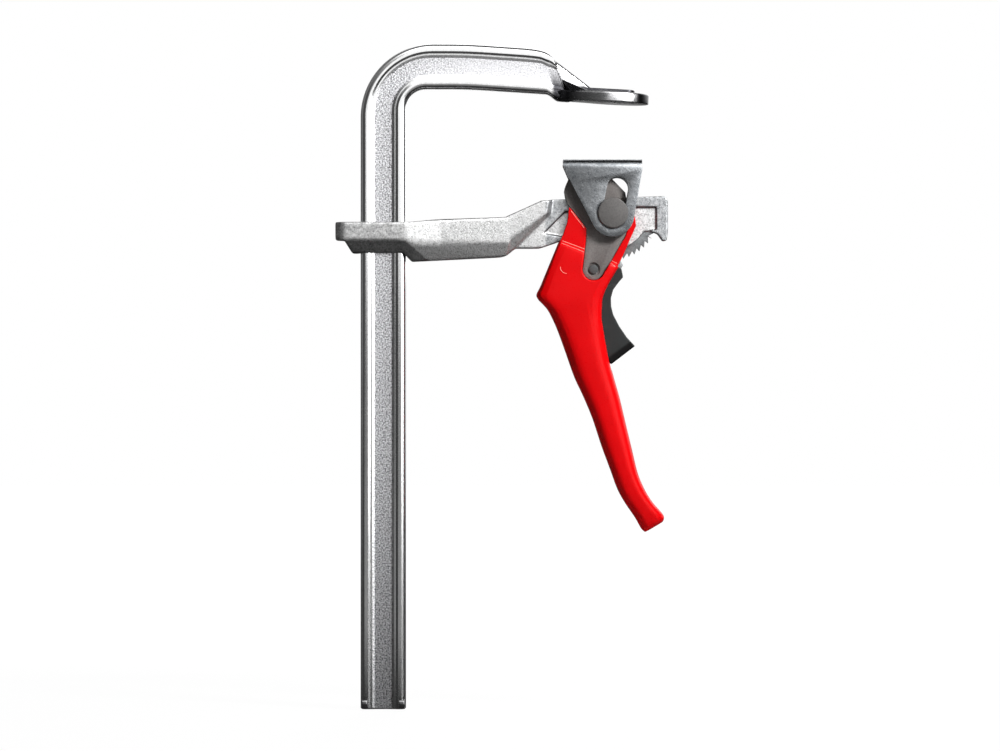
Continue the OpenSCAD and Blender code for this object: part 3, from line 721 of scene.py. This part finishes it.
def forged_steel():
    """Shot-blasted, plated forging: light and mottled, whiter where it is recessed, with painted
    light on the beam's first face and painted shade on the eye's foot, the web's border and the
    upper edges.
    """
    look = Look("forged_steel", 0.7, 0.75, 0.42)
    grain = look.noise(0.62, 3, 0.7)
    blotch = look.noise(1.6, 4, 0.7)
    recess, head, eye, under, facet_painted_light, painted_edge_shade = (look.attribute(name) for name in (
        "recess", "head", "eye", "under", "facet_painted_light", "painted_edge_shade"))
    pepper = look.ramp(grain, [(0.38, 0.5), (0.47, 0.86), (0.58, 1.0)])
    tone = look.ramp(blotch, [(0.36, 0.56), (0.6, 0.67)])
    eye_tone = look.ramp(blotch, [(0.38, 0.36), (0.6, 0.66)])
    head_tone = look.ramp(blotch, [(0.38, (0.27, 0.28, 0.29)), (0.6, (0.46, 0.47, 0.48))])
    # Painted light: the beam's first face is lighter
    tone = look.mix(facet_painted_light, tone, 0.86)
    skin = look.mix(head, look.mix(eye, tone, eye_tone), head_tone)
    # Painted shade: darker on the eye's foot, along the web's border and on the upper edges
    skin = look.mix(under, skin, look.multiply(skin, 0.36))
    skin = look.mix(painted_edge_shade, skin, look.multiply(skin, 0.2))
    skin = look.mix(recess, skin, 0.65)
    look.colour(look.multiply(skin, pepper))
    look.roughness(look.ramp(blotch, [(0.35, 0.5), (0.65, 0.36)]))
    coarse = look.bump(blotch, 0.06, 0.8)
    calm = look.math("SUBTRACT", 1.0, look.math("MULTIPLY", recess, 0.6))
    look.normal(look.bump(look.math("MULTIPLY", grain, calm), 0.09, 1, coarse))
    return look.material


def sheet_steel():
    """Bluish zinc plate, mottled, with fine rolling marks."""
    look = Look("sheet_steel", (0.36, 0.37, 0.38), 1, 0.32)
    blotch = look.noise(2.2, 4, 0.75)
    cloud = look.noise(8, 3, 0.6)
    grain = look.noise(0.6, 2, 0.7)
    tone = look.ramp(cloud, [(0.35, (0.15, 0.16, 0.17)), (0.65, (0.24, 0.25, 0.26))])
    light = look.ramp(blotch, [(0.36, (0.12, 0.128, 0.138)), (0.62, (0.3, 0.31, 0.32))])
    look.colour(look.mix(0.6, tone, light))
    look.roughness(look.ramp(blotch, [(0.3, 0.3), (0.7, 0.2)]))
    look.normal(look.bump(grain, 0.05, 0.9, look.bump(blotch, 0.1, 0.7)))
    return look.material


def dark_steel():
    """Warm grey phosphated steel, matt, with a fine grain."""
    look = Look("dark_steel", (0.18, 0.163, 0.155), 0, 0.55, MATT)
    cloud = look.noise(6, 3, 0.55)
    grain = look.noise(0.7, 2, 0.7)
    tone = look.ramp(cloud, [(0.3, (0.175, 0.159, 0.152)), (0.7, (0.205, 0.189, 0.181))])
    skin = look.multiply(tone, look.ramp(grain, [(0.35, 0.8), (0.6, 1.0)]))
    look.colour(look.mix(look.attribute("oiled"), skin, look.multiply(skin, (0.5, 0.57, 0.6))))
    look.roughness(look.ramp(grain, [(0.3, 0.62), (0.7, 0.5)]))
    look.normal(look.bump(grain, 0.04, 0.8))
    return look.material


def hard_steel():
    """Grey stamped and hardened steel."""
    look = Look("hard_steel", (0.3, 0.31, 0.315), 0.8, 0.42)
    cloud = look.noise(3, 3, 0.6)
    grain = look.noise(0.8, 2, 0.7)
    tone = look.ramp(cloud, [(0.3, (0.19, 0.2, 0.205)), (0.7, (0.3, 0.31, 0.315))])
    look.colour(look.multiply(tone, look.ramp(grain, [(0.35, 0.75), (0.6, 1.0)])))
    look.roughness(look.ramp(grain, [(0.3, 0.5), (0.7, 0.38)]))
    look.normal(look.bump(grain, 0.05, 0.8))
    return look.material


def spring_steel():
    """Bright drawn wire."""
    look = Look("spring_steel", 0.6, 1, 0.28)
    drawn = look.noise(0.15, 2, 0.5)
    look.colour(look.ramp(drawn, [(0.3, 0.5), (0.7, 0.68)]))
    look.normal(look.bump(drawn, 0.01, 0.4))
    return look.material


def red_plastic():
    """Satin red moulded plastic with a faint leathery grain, and a painted highlight on its
    raised lines.
    """
    look = Look("red_plastic", (0.75, 0.002, 0.004), 0, 0.3, SATIN)
    cloud = look.noise(22, 2, 0.5)
    grain = look.noise(0.6, 2, 0.5)
    skin = look.ramp(cloud, [(0.3, (0.7, 0.0015, 0.003)), (0.7, (0.77, 0.002, 0.004))])
    # Painted highlight: the raised lines are pale pink
    look.colour(look.mix(look.attribute("line"), skin, (0.95, 0.3, 0.25)))
    look.roughness(look.ramp(grain, [(0.3, 0.34), (0.7, 0.26)]))
    look.normal(look.bump(grain, 0.012, 0.35, look.bump(cloud, 0.3, 0.3)))
    return look.material


def black_plastic():
    """Dark grey moulded plastic, with painted shade: black where it is marked as the foot."""
    look = Look("black_plastic", (0.026, 0.029, 0.029), 0, 0.42, MATT)
    cloud = look.noise(8, 2, 0.5)
    grain = look.noise(0.6, 2, 0.6)
    skin = look.ramp(cloud, [(0.3, (0.023, 0.0255, 0.0255)), (0.7, (0.031, 0.034, 0.034))])
    # Painted shade: the trigger's foot goes black
    look.colour(look.mix(look.attribute("foot"), skin, 0.0015))
    look.roughness(look.ramp(grain, [(0.3, 0.5), (0.7, 0.38)]))
    look.normal(look.bump(grain, 0.025, 0.5))
    return look.material


LOOKS = {make.__name__: make() for make in (
    plated_steel, forged_steel, sheet_steel, dark_steel, hard_steel, spring_steel,
    red_plastic, black_plastic)}


def dress(obj, slot):
    """Gives a piece its material alone."""
    obj.data.materials.clear()
    obj.data.materials.append(LOOKS[slot])


def put(obj, body, slot, *replaced):
    """Gives a piece its material, the body it rides on and the nodes it stands for."""
    dress(obj, slot)
    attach(obj, body)
    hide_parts(*replaced)


# Bounds of the marks, each with the length over which a mark fades in or out

def above(value, bound):
    """Rises from 0 at the bound's place to 1 a fade further on."""
    return smoothstep((value - bound[0]) / bound[1])


def below(value, bound):
    """Falls from 1 a fade short of the bound's place to 0 there."""
    return smoothstep((bound[0] - value) / bound[1])


BLAST_OFF, BLAST_JAW, BLAST_JAW_SHARE = (0.05, 0.25), (74, 3), 0.6


def mark_blasted(obj):
    """Marks the recess between the ribs, whose surface is blasted, and half marks the jaw."""
    recess = RAIL_HALF_T - GROOVE_DEPTH
    values = []
    for v in obj.data.vertices:
        off = abs(abs(v.co.y / MM) - recess)
        values.append(max(1 - above(off, BLAST_OFF),
                          BLAST_JAW_SHARE * above(v.co.x / MM, BLAST_JAW)))
    mark(obj, "blast", values)


# Edges turn away from the view where their normal's Y is less than this; such edges get painted
# shade
TURNED = (0.84, 0.12)
# The painted shade on the jaw's foot, neck and pad top ends at a height over the pad's face and
# begins at an X
JAW_SHADE_TO, JAW_SHADE_FROM = (6.2, 0.8), (72, 2)
# The pad's bright rim is kept out of that shade: it ends at a height over its face, and lies
# between places from its middle; beyond them its ends get the shade
RIM_TO, RIM_START, RIM_END = (4.2, 0.3), (-8, 4), (14.2, 1.5)
# The gusset's edges get painted shade where they turn away, above the pad's face and beyond an X
GUSSET_OVER, GUSSET_FROM = (4, 1), (73.4, 0.6)
# The peened ribs at the rail's foot are darkened by a share, beyond an offset from the middle and
# below a height
PEENED_DARK, PEENED_OFF, PEENED_TO = 0.45, (4, 1), (5, 1)


def mark_jaw(obj):
    """Marks painted shade on the jaw's foot and neck, the top of its pad, the ends of its rim and
    its edges that turn away from the view; the peened ribs are darkened too.
    """
    c, s = math.cos(PAD_TILT), math.sin(PAD_TILT)
    values = []
    for v in obj.data.vertices:
        x, y, z = v.co / MM
        out = x - JAW_X
        rise = out * s + (z - PAD_Z) * c
        rim = below(rise, RIM_TO) * above(out, RIM_START) * (1 - above(out, RIM_END))
        jaw_shade = (1 - above(rise, JAW_SHADE_TO)) * (1 - rim) * above(x, JAW_SHADE_FROM)
        # Edges that turn away from the view get painted shade
        edge = below(abs(v.normal.y), TURNED) * above(rise, GUSSET_OVER) * above(x, GUSSET_FROM)
        values.append(max(jaw_shade, edge, PEENED_DARK * above(abs(y), PEENED_OFF) * below(z, PEENED_TO)))
    mark(obj, "jaw", values)


# The arm: where its eye ends and its thin end begins, and half the thickness of the end's web
EYE_TO, HEAD_FROM = (6, 5), (69.5, 1.5)
WEB_HALF_T = 3.55
# How the web fades, and the width of the painted shade along its border and how it fades in
WEB_FADE, WEB_BORDER, WEB_BORDER_FADE = 0.15, 0.8, 0.1
# The eye's foot, which gets painted shade, lies beyond a slanting line through (x, z), below a
# height
UNDER_AT, UNDER_WAY, UNDER_FADE, UNDER_TOP = (8.96, 202.9), (-0.65, -0.76), 0.8, (202.6, 0.8)
# The beam's first face, which gets painted light, lies this side of that line, from X to X and
# above a height
FACET_FROM, FACET_TO, FACET_OVER = (8.5, 2), (25.2, 0.6), (199.6, 0.8)
# Painted shade along the arm's upper edges, where they turn away from the view
RIDGE, RIDGE_UP, RIDGE_OFF, RIDGE_SIDE = 0.9, 0.3, 3.9, (0.1, 0.12)


def mark_arm(obj):
    """Marks the arm's parts that differ in tone.

    The head is its thin end, and the recess the bright web there, with painted shade along its
    border.
    The eye goes round the rail; the eye's foot gets painted shade, the beam's first face painted
    light, and the upper edges painted shade.
    """
    marks = {name: [] for name in ("head", "recess", "eye", "under", "facet_painted_light", "painted_edge_shade")}
    for v in obj.data.vertices:
        x, y, z = v.co / MM
        off, side = abs(y), abs(v.normal.y)
        beyond = UNDER_WAY[0] * (x - UNDER_AT[0]) + UNDER_WAY[1] * (z - UNDER_AT[1])
        head = above(x, HEAD_FROM)
        # Painted shade along the web's border
        painted_edge_shade = head * above(off, (WEB_HALF_T, WEB_BORDER_FADE))
        painted_edge_shade *= below(off, (WEB_HALF_T + WEB_BORDER, WEB_FADE))
        # Upper edges that turn away from the view get painted shade
        if v.normal.z > RIDGE_UP and off > RIDGE_OFF:
            painted_edge_shade = max(painted_edge_shade, RIDGE * below(side, TURNED) * above(side, RIDGE_SIDE))
        marks["head"].append(head)
        marks["recess"].append(head * (1 - above(off, (WEB_HALF_T, WEB_FADE))))
        marks["eye"].append(1 - above(x, EYE_TO))
        # The eye's foot gets painted shade, and the beam's first face painted light
        marks["under"].append(smoothstep(beyond / UNDER_FADE + 0.5) * below(z, UNDER_TOP))
        marks["facet_painted_light"].append(above(x, FACET_FROM) * below(x, FACET_TO)
                              * smoothstep(-beyond) * above(z, FACET_OVER))
        marks["painted_edge_shade"].append(painted_edge_shade)
    for name, values in marks.items():
        mark(obj, name, values)


# The trigger's foot, which gets painted shade: a point on its end, the way up from there, and the
# height it ends at
TRIGGER_TIP, TRIGGER_WAY, TRIGGER_FOOT = (109, 157.1), (-0.589, 0.808), (2, 1.4)


def mark_trigger(obj):
    """Marks the trigger's foot, which gets black painted shade."""
    values = []
    for v in obj.data.vertices:
        x, z = v.co.x / MM - TRIGGER_TIP[0], v.co.z / MM - TRIGGER_TIP[1]
        values.append(1 - above(TRIGGER_WAY[0] * x + TRIGGER_WAY[1] * z, TRIGGER_FOOT))
    mark(obj, "foot", values)


# The pieces

rail = make_rail()
mark_blasted(rail)
mark_jaw(rail)
put(rail, "rail", "plated_steel", "rail")
arm = make_arm()
mark_arm(arm)
put(arm, "arm", "forged_steel", "sliding_arm")
put(make_grip(), "lever", "red_plastic", "grip")
trigger = make_trigger()
mark_trigger(trigger)
put(trigger, "trigger", "black_plastic", "trigger")
put(make_plate(), "plate", "sheet_steel", "pressure_plate")

# Pieces that keep their CAD shape and get rounded edges: body, material, width of the rounding
CARRIED = {
    "cam_plate_front": ("lever", "dark_steel", 0.2),
    "cam_plate_rear": ("lever", "dark_steel", 0.2),
    "pivot_pin": ("lever", "dark_steel", 0.45),
    "pivot_washer": ("lever", "dark_steel", 0.3),
    "trigger_pin": ("lever", "dark_steel", 0.3),
    "ratchet_segment": ("arm", "hard_steel", 0.12),
    "pawl": ("trigger", "hard_steel", 0.15),
    "ratchet_rivets": ("arm", "hard_steel", 0.2),
    "pivot_bush": ("arm", "hard_steel", 0.15),
    "trigger_bush": ("trigger", "hard_steel", 0.12)}
# The pins are darker than the cams
OILED = {"trigger_pin": 1.0, "pivot_pin": 0.5, "pivot_washer": 0.5}
for node, (body, slot, width) in CARRIED.items():
    piece = copy_of(node, node + "_finished", True)
    bevel(piece, width)
    shade(piece)
    if node in OILED:
        mark(piece, "oiled", [OILED[node]] * len(piece.data.vertices))
    put(piece, body, slot, node)
dress(NODES["trigger_spring"], "spring_steel")


# Stage: floor, world, lamps and camera

# Distances in metres and levels, where 1 is white
FLOOR_HALF, FLOOR_DROP, FLOOR_GREY = 4, 0.0005, 0.3
FLOOR_GLOW = 1.05
# Near the object the glow is a bit weaker, so that the floor keeps some shadow
GLOW_NEAR, GLOW_FAR, GLOW_NEAR_SHARE = 0.25, 1, 0.92
# What metal sees of the floor: dark, with a grey card in front of the clamp
FLOOR_MIRRORED, CARD = 0.035, 0.28
CARD_AHEAD = [(0.25, 0.0), (0.45, 1.0)]
CARD_ASIDE = [(0.5, 1.0), (0.85, 0.0)]


def make_floor():
    """Pale floor: white behind the object, dark where polished metal mirrors it."""
    bm = bmesh.new()
    bmesh.ops.create_grid(bm, x_segments=1, y_segments=1, size=FLOOR_HALF)
    floor = collect("floor", bm)
    floor.location.z = -FLOOR_DROP
    look = Look("floor", FLOOR_GREY, 0, 0.7)
    path = look.node("ShaderNodeLightPath").outputs
    reach = look.node("ShaderNodeVectorMath", operation="LENGTH")
    look.link(look.place, reach.inputs[0])
    far = look.node("ShaderNodeMapRange")
    far.inputs["From Min"].default_value = GLOW_NEAR
    far.inputs["From Max"].default_value = GLOW_FAR
    far.inputs["To Min"].default_value = GLOW_NEAR_SHARE
    look.link(reach.outputs["Value"], far.inputs["Value"])
    x, y, _ = look.axes()
    ahead = look.math("MULTIPLY", y, -1.0)
    aside = look.math("DIVIDE", look.math("ABSOLUTE", x), ahead)
    card = look.math("MULTIPLY", look.ramp(ahead, CARD_AHEAD), look.ramp(aside, CARD_ASIDE))
    mirrored = look.math("ADD", look.math("MULTIPLY", card, CARD), FLOOR_MIRRORED)
    looking = look.math("MAXIMUM", path["Is Camera Ray"], path["Is Transmission Ray"])

    def glow(level):
        n = look.node("ShaderNodeEmission")
        look.put(n.inputs["Strength"], level)
        return n.outputs[0]

    def mix_shaders(share, a, b):
        n = look.node("ShaderNodeMixShader")
        for socket, value in zip(n.inputs, (share, a, b)):
            look.link(value, socket)
        return n.outputs[0]

    seen = mix_shaders(look.math("MULTIPLY", looking, far.outputs[0]), look.shader.outputs[0],
                       glow(FLOOR_GLOW))
    surface = mix_shaders(path["Is Glossy Ray"], seen, glow(mirrored))
    look.link(surface, look.tree.nodes["Material Output"].inputs["Surface"])
    floor.data.materials.append(look.material)


# Levels of the world by direction, from -1 to 1. In front: along a slant up and to the right;
# behind: along X. The share of the front goes by Y.
SLANT_X, SLANT_Z = 0.6, 0.8
FRONT = [(-1, 0.01), (-0.1, 0.03), (0, 0.07), (0.2, 0.12), (0.5, 1), (1, 1)]
BACK = [(-1, 0.08), (-0.3, 0.06), (0.1, 0.012), (1, 0.02)]
FRONT_SHARE = [(-0.45, 1), (-0.3, 0), (0.4, 0), (0.7, 0.6)]
# The world's strength for plain light, and what it gains where metal mirrors it
WORLD, WORLD_MIRRORED = 0.08, 2.42


def make_world():
    """White behind the object for the camera; bright up and to the right, dark elsewhere."""
    world = bpy.data.worlds.new("studio")
    bpy.context.scene.world = world
    world.use_nodes = True
    nodes, links = world.node_tree.nodes, world.node_tree.links

    def put(socket, value):
        if isinstance(value, bpy.types.NodeSocket):
            links.new(value, socket)
        else:
            socket.default_value = value

    def math_node(operation, *values):
        n = nodes.new("ShaderNodeMath")
        n.operation = operation
        for socket, value in zip(n.inputs, values):
            put(socket, value)
        return n.outputs[0]

    def ramp(value, stops):
        n = nodes.new("ShaderNodeValToRGB")
        elements = n.color_ramp.elements
        while len(elements) < len(stops):
            elements.new(0.5)
        for element, (at, level) in zip(elements, stops):
            element.position = (at + 1) / 2
            element.color = (*rgb(level), 1)
        links.new(math_node("MULTIPLY_ADD", value, 0.5, 0.5), n.inputs["Fac"])
        return n.outputs["Color"]

    def mix(share, a, b):
        n = nodes.new("ShaderNodeMix")
        n.data_type = "RGBA"
        for i, value in ((0, share), (6, a), (7, b)):
            put(n.inputs[i], value)
        return n.outputs[2]

    split = nodes.new("ShaderNodeSeparateXYZ")
    links.new(nodes.new("ShaderNodeTexCoord").outputs["Generated"], split.inputs[0])
    x, y, z = split.outputs
    slant = math_node("ADD", math_node("MULTIPLY", x, SLANT_X), math_node("MULTIPLY", z, SLANT_Z))
    path = nodes.new("ShaderNodeLightPath").outputs
    looking = math_node("MAXIMUM", path["Is Camera Ray"], path["Is Transmission Ray"])
    cards = mix(ramp(y, FRONT_SHARE), ramp(x, BACK), ramp(slant, FRONT))
    links.new(mix(looking, cards, (1, 1, 1, 1)), nodes["Background"].inputs["Color"])
    level = math_node("MULTIPLY_ADD", path["Is Glossy Ray"], WORLD_MIRRORED, WORLD)
    to_white = math_node("SUBTRACT", 1, level)
    links.new(math_node("MULTIPLY_ADD", looking, to_white, level),
              nodes["Background"].inputs["Strength"])


def make_lamp(name, at, aim, size, level):
    """An area lamp whose surface has the given level, where 1 is white."""
    data = bpy.data.lights.new(name, "AREA")
    data.shape = "RECTANGLE"
    data.size, data.size_y = size
    data.energy = level * math.pi * size[0] * size[1]
    lamp = bpy.data.objects.new(name, data)
    lamp.location = at
    lamp.rotation_euler = (Vector(aim) - Vector(at)).to_track_quat("-Z", "Y").to_euler()
    lamp.visible_camera = False
    bpy.context.scene.collection.objects.link(lamp)
    return lamp


def make_camera():
    """The photograph's camera."""
    data = bpy.data.cameras.new("camera")
    data.type = "PERSP"
    data.lens = LENS_MM
    data.sensor_width = SENSOR_MM
    camera = bpy.data.objects.new("camera", data)
    camera.location = Vector(CAMERA_AT) * MM
    camera.rotation_euler = (math.pi / 2, 0, 0)
    bpy.context.scene.collection.objects.link(camera)
    bpy.context.scene.camera = camera


# Place, aim and size in metres, and level
LAMPS = {"key": ((0.6, -0.52, 0.68), (0.06, 0, 0.2), (0.2, 0.2), 90),
         "front_box": ((0.19, -0.7, 0.6), (0.19, 0, 0.6), (0.62, 0.8), 1),
         "side_box": ((0.6, -0.62, 0.5), (0.05, 0, 0.2), (0.7, 0.9), 2.4),
         "back_box": ((0.19, 0.7, 0.6), (0.19, 0, 0.6), (0.62, 0.8), 1),
         "back_key": ((0.05, 0.9, 0.7), (0.06, 0, 0.2), (0.3, 0.3), 38)}
make_floor()
make_world()
lamps = {name: make_lamp(name, *facts) for name, facts in LAMPS.items()}
# The boxes are only mirrored, and the lamp behind only lights
for name in ("front_box", "side_box", "back_box"):
    lamps[name].visible_diffuse = False
lamps["back_key"].visible_glossy = False
make_camera()
bpy.context.scene.view_settings.view_transform = "Standard"

bpy.context.view_layer.update()
